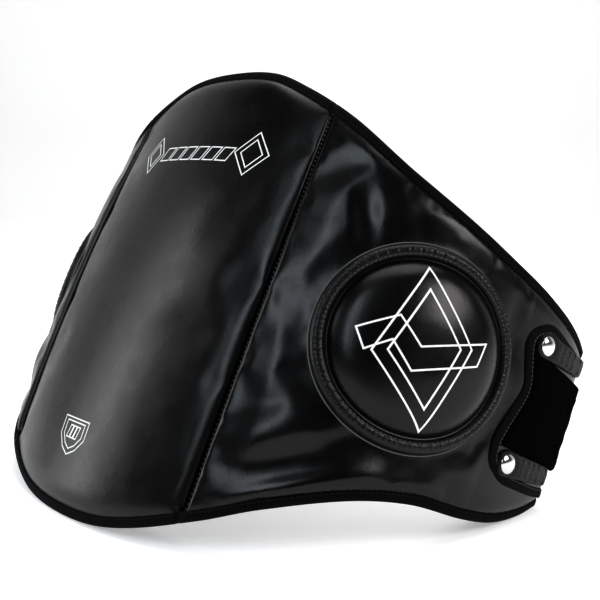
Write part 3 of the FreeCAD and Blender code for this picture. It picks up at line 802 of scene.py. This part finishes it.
# ------------------------------------------------------------------ round targets
TARGET_RISE = 3.6       # the targets' base over the CAD face, clear of the wing's creases
DOME_RAD, DOME_RISE = 54.0, 13.5
ROLL_RAD, ROLL_HALF, ROLL_RISE = 59.0, 4.8, 5.6
STITCH_RAD, RAW_EDGE_RAD = 56.6, 64.5
GATHER_RAD, GATHER_WIDTH, GATHER_RISE = 58.4, 5.4, 0.42     # the roll's puckered gathers


def target_profile(r):
    """Height of the target over its base at radius r: dome, channel and roll."""
    r = np.asarray(r, float)
    dome = DOME_RISE * (1 - np.clip(r / DOME_RAD, 0, 1) ** 3.4) ** 0.85
    shoulder = 1.5 * bump(r - 30.0, 16.0)
    ring = ROLL_RISE * np.sqrt(np.maximum(1 - ((r - ROLL_RAD) / ROLL_HALF) ** 2, 0))
    return np.where(r < DOME_RAD, dome - shoulder * 0.5 + 1.2, np.maximum(ring, 1.0))


def roll_profile(r):
    """The roll alone, tucked under at both of its edges."""
    return np.where((r < DOME_RAD) | (r > ROLL_RAD + 5.0), -1.0, target_profile(r))


def channel_face(s, h):
    return target_profile(from_target(np.asarray(s), np.asarray(h))) + TARGET_RISE - 0.1


def around_target(r, t):
    return TARGET_S + r * np.cos(t), TARGET_H + r * np.sin(t)


def disc(name, radii, relief, count, material, side, gather=0.0):
    """Round piece on a wing, from its middle out, with gathers of a height."""
    turn = np.linspace(0, 2 * math.pi, count, endpoint=False)
    r = np.repeat(radii[:, None], count, 1)
    t = np.repeat(turn[None, :], len(radii), 0)
    s, h = around_target(r, t)
    wave = np.sin(t * 118) * 0.5 + np.sin(t * 61 + 1.3) * 0.3 + np.sin(t * 173 + r) * 0.4
    off = relief(r) + TARGET_RISE + gather * wave * bump(r - GATHER_RAD, GATHER_WIDTH)
    return sheet(name, s, off, h, material, side, wrap_cols=True, swapped=True)


def circle(radius, count=180):
    turn = np.linspace(0, 2 * math.pi, count, endpoint=False)
    return np.stack(around_target(radius, turn), 1)


def target(side):
    who, body = names[side], bodies[side]
    radii = np.concatenate([np.linspace(0.05, 40, 26), np.linspace(42, 54.5, 18)])
    dome = disc(who + "_target_dome_skin", radii, target_profile, 180, LEATHER_TARGET, side)
    fit(dome, body, "target_leather", who + "_target_dome", who + "_target_foam")
    soften(dome)
    radii = np.concatenate([[53.4], np.linspace(54.2, 63.6, 16), [64.2]])
    ring = disc(who + "_target_ring_roll", radii, roll_profile, 480, LEATHER_TRIM, side,
                GATHER_RISE)
    fit(ring, body, "leather_trim", who + "_target_ring")
    row = stitches(who + "_target_stitches", circle(STITCH_RAD), channel_face, 2.9, 2.2, 0.8,
                   0.5, side)
    fit(row, body, "leather_trim")
    lip = strip(who + "_target_raw_edge", circle(RAW_EDGE_RAD, 240),
                half_round(1.1, 1.1, 0.6, 7), level(TARGET_RISE), RAW_EDGE, side, closed=True)
    fit(lip, body, "leather_trim")
    return dome


domes = {side: target(side) for side in (1, -1)}

# ------------------------------------------------------------------ anchor patches
PATCH_LOW = ((283, 18), (319, 18), (345, 18.5), (376, 23))
PATCH_HIGH = ((283, 136), (312, 134), (330, 131), (376, 126))
PATCH_RISE = 3.2        # height of the patch over the CAD face
BINDING_INSET, BORDER_STITCH_INSET = 3.1, 5.2
ROOT_FRONT = ((40, 292.0), (58, 296.5), (74, 301.0), (88, 303.0), (100, 298.5), (112, 294.0))
ROOT_LOW, ROOT_HIGH, ROOT_END, ROOT_RISE = 41.5, 110.5, 362.0, 3.6
ARM_ENDS = {"upper": 355.0, "lower": 352.5}
ARM_NOSE, ARM_HALF = 9.5, 10.2      # from the rivet to the arm's rounded front, half width
ARM_SLOPE, ARM_TAPER = 0.075, 0.045     # rise of its middle line, loss of half width
ARM_STITCHES = (318.0, 325.0, 332.0, 339.0, 350.0)


def patch_outline(inset):
    """Front, top and bottom edges of the patch as one path, from the rear low corner."""
    low = [(s, float(smooth(PATCH_LOW, s)) + inset) for s in np.linspace(356.5, 304, 14)]
    high = [(s, float(smooth(PATCH_HIGH, s)) - inset) for s in np.linspace(304, 358.5, 14)]
    front = [(float(smooth(PATCH_FRONT, h)) + inset, h) for h in np.linspace(29, 122, 26)]
    path = resample(low + front + high, 2.0)
    for _ in range(6):
        path[1:-1] = (path[:-2] + 2 * path[1:-1] + path[2:]) / 4
    return path


def patch(side):
    """Leather patch with its taped and stitched border."""
    who, body = names[side], bodies[side]
    cols = np.linspace(0, 1, 28)
    s = np.zeros((40, len(cols)))
    h = np.zeros_like(s)
    for i, share in enumerate(np.linspace(0, 1, len(s))):
        height = 24 + 102 * share
        for _ in range(2):
            start = float(smooth(PATCH_FRONT, height)) + 3.0
            s[i] = start + (WING_END - 1.5 - start) * cols
            low, high = smooth(PATCH_LOW, s[i]) + 3, smooth(PATCH_HIGH, s[i]) - 3
            h[i] = low + (high - low) * share
            height = h[i][0]
    skin = sheet(who + "_patch_skin", s, level(PATCH_RISE)(s, h), h, LEATHER_TRIM, side)
    fit(skin, body, "leather", who + "_anchor_patch")
    edge = strip(who + "_patch_binding", patch_outline(BINDING_INSET),
                 [(4.1, -2.6), (3.8, 1.1), (2.7, 1.7), (0, 1.95), (-2.7, 1.8), (-3.6, 1.1),
                  (-3.8, 0.1), (-3.8, -2.6)], level(PATCH_RISE), TAPE, side)
    fit(edge, body, "tape", who + "_patch_edge")
    row = stitches(who + "_patch_stitches", patch_outline(BORDER_STITCH_INSET),
                   level(PATCH_RISE + 1.75), 3.0, side=side)
    fit(row, body, "tape")


def velvet_root(side):
    """Velvet root of the strap, between the two arms."""
    rows, cols = ease(44, 0.5), ease(40, 0.4)
    h = ROOT_LOW + (ROOT_HIGH - ROOT_LOW) * np.repeat(rows[:, None], len(cols), 1)
    start = smooth(ROOT_FRONT, h)
    s = start + (ROOT_END - start) * cols[None, :]
    d = np.minimum(np.minimum(h - ROOT_LOW, ROOT_HIGH - h), s - start)
    fuzz = 0.35 * np.sin(s * 2.1 + np.sin(h * 1.3) * 2) * np.sin(h * 1.7 + np.sin(s) * 1.5)
    off = PATCH_RISE + 0.2 + (ROOT_RISE + fuzz) * roll(d + 0.3, 4.0)
    root = sheet(names[side] + "_velvet_root", s, off, h, VELVET, side)
    fit(root, bodies[side], "velvet", names[side] + "_strap_root")
    soften(root)


def arm(side, word, rivet):
    """Leather arm from its rivet to the wing's end, with rows of stitches across it."""
    name = "%s_%s_arm" % (names[side], word)
    rivet_s, rivet_h = rivet
    across, along = ease(22, 0.5)[:, None] * 2 - 1, ease(44, 0.3)
    first = rivet_s - ARM_NOSE
    s = first + (ARM_ENDS[word] - first) * np.repeat(along[None, :], len(across), 0)
    nose = np.clip((s - first) / 9.0, 0, 1)
    half = (ARM_HALF - ARM_TAPER * (s - first)) * (0.1 + 0.9 * np.sqrt(nose * (2 - nose)))
    h = rivet_h + ARM_SLOPE * (s - rivet_s) + half * across
    d = np.minimum(half - np.abs(half * across), s - first)
    plump = 1.1 * roll(d, 2.0) + 1.1 * roll(d, 8.0)
    plump = plump - 0.5 * bump(np.hypot(s - rivet_s, h - rivet_h) - 7.5, 3.0)
    off = PATCH_RISE + 1.6 * roll(d, 1.2) + plump
    skin = sheet(name + "_skin", s, off, h, LEATHER_ARM, side)
    fit(skin, bodies[side], "leather_trim", name)
    soften(skin)
    for k, at in enumerate(ARM_STITCHES):
        middle = rivet_h + ARM_SLOPE * (at - rivet_s)
        path = [(at + (1.2 if n % 2 else -1.2), middle + 6.4 * x)
                for n, x in enumerate(np.linspace(-1, 1, 9))]
        row = stitches("%s_stitch_%d" % (name, k), path, level(PATCH_RISE + 3.5), 2.4, 2.6,
                       0.8, 0.5, side)
        fit(row, bodies[side], "leather_trim")


for side in (1, -1):
    patch(side)
    velvet_root(side)
    arm(side, "upper", RIVETS[0])
    arm(side, "lower", RIVETS[1])

# ------------------------------------------------------------------ rivets
CAP_RINGS = ((6.9, 0.0), (6.9, 0.35), (6.6, 0.75), (5.9, 1.3), (4.8, 1.9), (3.4, 2.4),
             (1.8, 2.7), (0.05, 2.8))
CAP_BASE, CAP_AROUND = 6.2, 40


def rivet_caps(side):
    """Domed caps of one side's two rivets."""
    who = names[side]
    points, faces = [], []
    for rivet_s, rivet_h in RIVETS:
        faces += grid_faces(len(CAP_RINGS), CAP_AROUND, wrap_cols=True, flip=side < 0,
                            base=len(points))
        for radius, rise in CAP_RINGS:
            for k in range(CAP_AROUND):
                turn = 2 * math.pi * k / CAP_AROUND
                points.append((rivet_s + radius * math.cos(turn), rise + CAP_BASE,
                               rivet_h + radius * math.sin(turn)))
    flat = np.array(points)
    caps = make(who + "_rivet_caps", place(flat[:, 0] * side, flat[:, 1], flat[:, 2]), faces,
                CHROME)
    fit(caps, bodies[side], "rivet", who + "_rivets", who + "_washers")


for side in (1, -1):
    rivet_caps(side)

# ------------------------------------------------------------------ straps
RIBS = 27               # points over a strap's width
WEB_START, WEB_INNER, WEB_OUTER = 363.2, 2.2, 4.7


def webbing(cad, word, start, stop, inset, inner, outer, material, side, slot, ribs=0.0,
            count=60, corner=0.0):
    """Closed flat piece of a strap from start to stop, inset from the strap's long edges,
    with woven ribs along it; corner rounds its free end."""
    strap = names[side] + "_strap"
    turns = np.linspace(start, stop, count)
    heights = np.linspace(STRAP_LOW + inset, STRAP_HIGH - inset, RIBS)
    ring_h = np.concatenate([heights, heights[::-1]])
    out = np.repeat([1.0, -1.0], RIBS)
    s = np.repeat(turns[:, None], 2 * RIBS, 1)
    h = np.repeat(ring_h[None, :], count, 0)
    if corner:
        middle = (STRAP_LOW + STRAP_HIGH) / 2
        d = np.minimum(stop - turns, corner) / corner
        pinch = 1 - 0.22 * (1 - np.sqrt(np.maximum(d * (2 - d), 0)))
        h = middle + (h - middle) * pinch[:, None]
    off = np.where(out > 0, outer, inner) + out * ribs * np.abs(np.sin(h * math.pi / 2.4))
    points = place(s * side, off, h, lap=side < 0)
    item = make("%s_%s" % (names[side], word), points.reshape(-1, 3),
                tube_faces(count, 2 * RIBS, flip=side > 0), material)
    fit(item, strap, slot, names[side] + "_" + cad)


left_middle = PLAN_END + PLAN[3, 3]      # s at the middle of the back
right_middle = LAP_END + LAP_PLAN[3, 3]
webbing("strap", "strap_web", WEB_START, left_middle - 3, 0, WEB_INNER, WEB_OUTER, WEBBING, 1,
        "webbing", 0.12, 150, corner=12.0)
webbing("loop_field", "strap_loop", left_middle - 125, left_middle - 5, 4, 4.6, 5.9, VELVET, 1,
        "velvet", corner=8.0)
webbing("strap", "strap_web", WEB_START, right_middle + 118, 0, WEB_INNER, WEB_OUTER, WEBBING,
        -1, "webbing", 0.12, 200)
webbing("hook_field", "strap_hooks", right_middle + 5, right_middle + 115, 4, 1.2, 2.3, HOOKS,
        -1, "hook_tape")
webbing("pull_tab", "pull_tab_leather", right_middle + 112, right_middle + 150, 2, 2.0, 6.2,
        LEATHER_TRIM, -1, "leather_trim", count=40, corner=16.0)

# ------------------------------------------------------------------ printed marks
PRINT_LIFT = 0.00018    # metres that the print stands over the leather
PRINT_STEP = 1.6


def surface(item):
    """The finished surface of a piece, to cast rays at."""
    seen = item.evaluated_get(bpy.context.evaluated_depsgraph_get())
    mesh = seen.to_mesh()
    points = [item.matrix_world @ v.co for v in mesh.vertices]
    tree = BVHTree.FromPolygons(points, [tuple(p.vertices) for p in mesh.polygons])
    seen.to_mesh_clear()
    return tree


def on_surface(tree, spot, side):
    """The point of a surface under a place (s, h), raised by the print's lift."""
    near, far = place([spot[0] * side] * 2, [0.0, 40.0], [spot[1]] * 2)
    way = Vector(near - far).normalized()
    hit = tree.ray_cast(Vector(far), way)[0]
    return (hit if hit is not None else Vector(near)) - way * PRINT_LIFT


def printed(name, outlines, under, width, side, body, slot):
    """Thin printed lines on a face; each outline is a closed loop of (s, h)."""
    tree = surface(under)
    points, faces = [], []
    for loop in outlines:
        loop = np.array(list(loop) + [loop[0]], float)
        path = np.concatenate([resample(loop[k:k + 2], PRINT_STEP)[:-1]
                               for k in range(len(loop) - 1)])
        count = len(path)
        ahead = unit(np.roll(path, -1, 0) - path)
        behind = unit(path - np.roll(path, 1, 0))
        turn = np.clip((ahead * behind).sum(1), -0.6, 1)
        over = unit(leftward(ahead + behind)) / np.sqrt((1 + turn) / 2)[:, None]
        base = len(points)
        for at, aside in zip(path, over):
            points += [on_surface(tree, at + aside * shift, side)
                       for shift in (-width / 2, width / 2)]
        faces += grid_faces(count, 2, wrap_rows=True, flip=side > 0, base=base)
    item = make(name, points, faces, PRINT)
    fit(item, body, slot)


def turned(loop, centre, angle=0.0, scale=1.0):
    c, s = math.cos(angle) * scale, math.sin(angle) * scale
    return [(centre[0] + x * c - y * s, centre[1] + x * s + y * c) for x, y in loop]


def diamond(centre, wide, tall):
    x, y = centre
    return [(x - wide, y), (x, y - tall), (x + wide, y), (x, y + tall)]


def bars(centre, count, wide, tall, slant):
    """Row of leaning bars."""
    loops = []
    for k in range(count):
        x = centre[0] + (k - (count - 1) / 2) * wide * 1.25
        low, high = centre[1] - tall / 2, centre[1] + tall / 2
        loops.append([(x - wide / 2 - slant, low), (x + wide / 2 - slant, low),
                      (x + wide / 2 + slant, high), (x - wide / 2 + slant, high)])
    return loops


def target_mark():
    """Long double-outlined kite with a folded bar laid across its middle."""
    kite = [(0, 50), (27, 6), (5, -48), (-27, -6)]
    inner = [(x * 0.72 + 0.5, y * 0.72) for x, y in kite]
    bar = [(-36, 6), (-14, 17), (-2, 1), (37, 12), (32, -3), (-6, -14), (-17, 2), (-31, -6)]
    return [turned(loop, (TARGET_S - 2, TARGET_H - 2), math.radians(12))
            for loop in (kite, inner, bar)]


def top_mark():
    """Two double diamonds joined by a row of bars."""
    return bars((7, 164), 6, 10.5, 10, 2.4) + [
        diamond((-47, 165), 13, 15), diamond((-47, 165), 8, 9.5),
        diamond((63, 166), 15, 16), diamond((63, 166), 9.5, 10.5)]


def low_mark():
    """Small double-outlined shield with three bars."""
    shield = [(-15, 9), (15, 9), (15, -3), (8, -11), (0, -15), (-8, -11), (-15, -3)]
    centre = (0, -41)
    return [turned(shield, centre), turned(shield, centre, scale=0.74)] + [
        turned(loop, centre) for loop in bars((0, 0), 3, 3.4, 8, 1.0)]


for side in (1, -1):
    printed(names[side] + "_target_mark", target_mark(), domes[side], 1.15, side, bodies[side],
            "target_leather")
printed("panel_top_mark", top_mark(), panel_skin, 0.95, 1, "front_panel", "leather")
printed("panel_low_mark", low_mark(), panel_skin, 0.9, 1, "front_panel", "leather")

# ------------------------------------------------------------------ stage, light, camera
VIEW_TURN = math.radians(48.95)         # the backdrop lies square to the view
CAMERA_AT, CAMERA_AIM = (0.5469, -0.41395, 0.2183), (-0.12415, 0.17056, 0.0985)


def backdrop():
    """Pale floor that curves up into a wall a long way behind the pad."""
    look = Looks("studio_floor")
    look.colour(look.noise(3, 2), tone(0.84), tone(0.86))
    look.set(rough=0.65, level=0.2, glow=0.42, glow_tone=tone(1))
    profile = [(-16.0, 0.0), (1.9, 0.0), (2.3, 0.08), (2.6, 0.35), (2.75, 0.9), (2.8, 4.0)]
    points = []
    for along, up in profile:
        for across in (-12.0, 12.0):
            points.append((-math.sin(VIEW_TURN) * along + math.cos(VIEW_TURN) * across,
                           math.cos(VIEW_TURN) * along + math.sin(VIEW_TURN) * across, up))
    make("studio_floor", points, grid_faces(len(profile), 2, flip=True), look.mat)


def aimed(name, data, spot, aim):
    """Put a lamp or camera at a spot, pointing at its aim."""
    item = bpy.data.objects.new(name, data)
    item.location = spot
    item.rotation_euler = (Vector(aim) - item.location).to_track_quat("-Z", "Y").to_euler()
    bpy.context.scene.collection.objects.link(item)
    return item


def lamp(name, azimuth, height, distance, wide, tall, glow, colour=(1, 1, 1), aim=(0, 0, 0.12)):
    """Soft box seen from the pad at an azimuth (0 in front, + to the wearer's left)."""
    turn, rise = math.radians(azimuth), math.radians(height)
    data = bpy.data.lights.new(name, "AREA")
    data.shape = "RECTANGLE"
    data.size = wide
    data.size_y = tall
    data.energy = math.pi * wide * tall * glow
    data.color = colour
    aimed(name, data, (aim[0] + distance * math.sin(turn) * math.cos(rise),
                       aim[1] - distance * math.cos(turn) * math.cos(rise),
                       aim[2] + distance * math.sin(rise)), aim)


backdrop()
lamp("left_box", -47, 15, 1.5, 0.40, 1.15, 5.4)
lamp("strip_box", 11, 37, 1.5, 0.38, 1.0, 7.0, (0.84, 0.93, 1.0))
lamp("right_box", 106, 30, 1.6, 0.8, 0.7, 8.5, (1.0, 0.96, 0.97))
lamp("floor_box", 205, 74, 2.4, 2.2, 2.2, 3.0)
lamp("wall_box", 228.95, 50, 2.2, 2.4, 0.8, 10.0, aim=(-1.9, 1.7, 0.6))

world = bpy.data.worlds.new("studio")
world.use_nodes = True
sky = world.node_tree.nodes["Background"].inputs
sky["Color"].default_value = (1, 1, 1, 1)
sky["Strength"].default_value = 0.05
bpy.context.scene.world = world
bpy.context.scene.view_settings.view_transform = "Standard"
bpy.context.scene.view_settings.gamma = 0.8

camera_data = bpy.data.cameras.new("camera")
camera_data.sensor_width = 36.0
camera_data.lens = 55.84
camera_data.clip_start = 0.01
camera_data.clip_end = 50.0
bpy.context.scene.camera = aimed("camera", camera_data, CAMERA_AT, CAMERA_AIM)
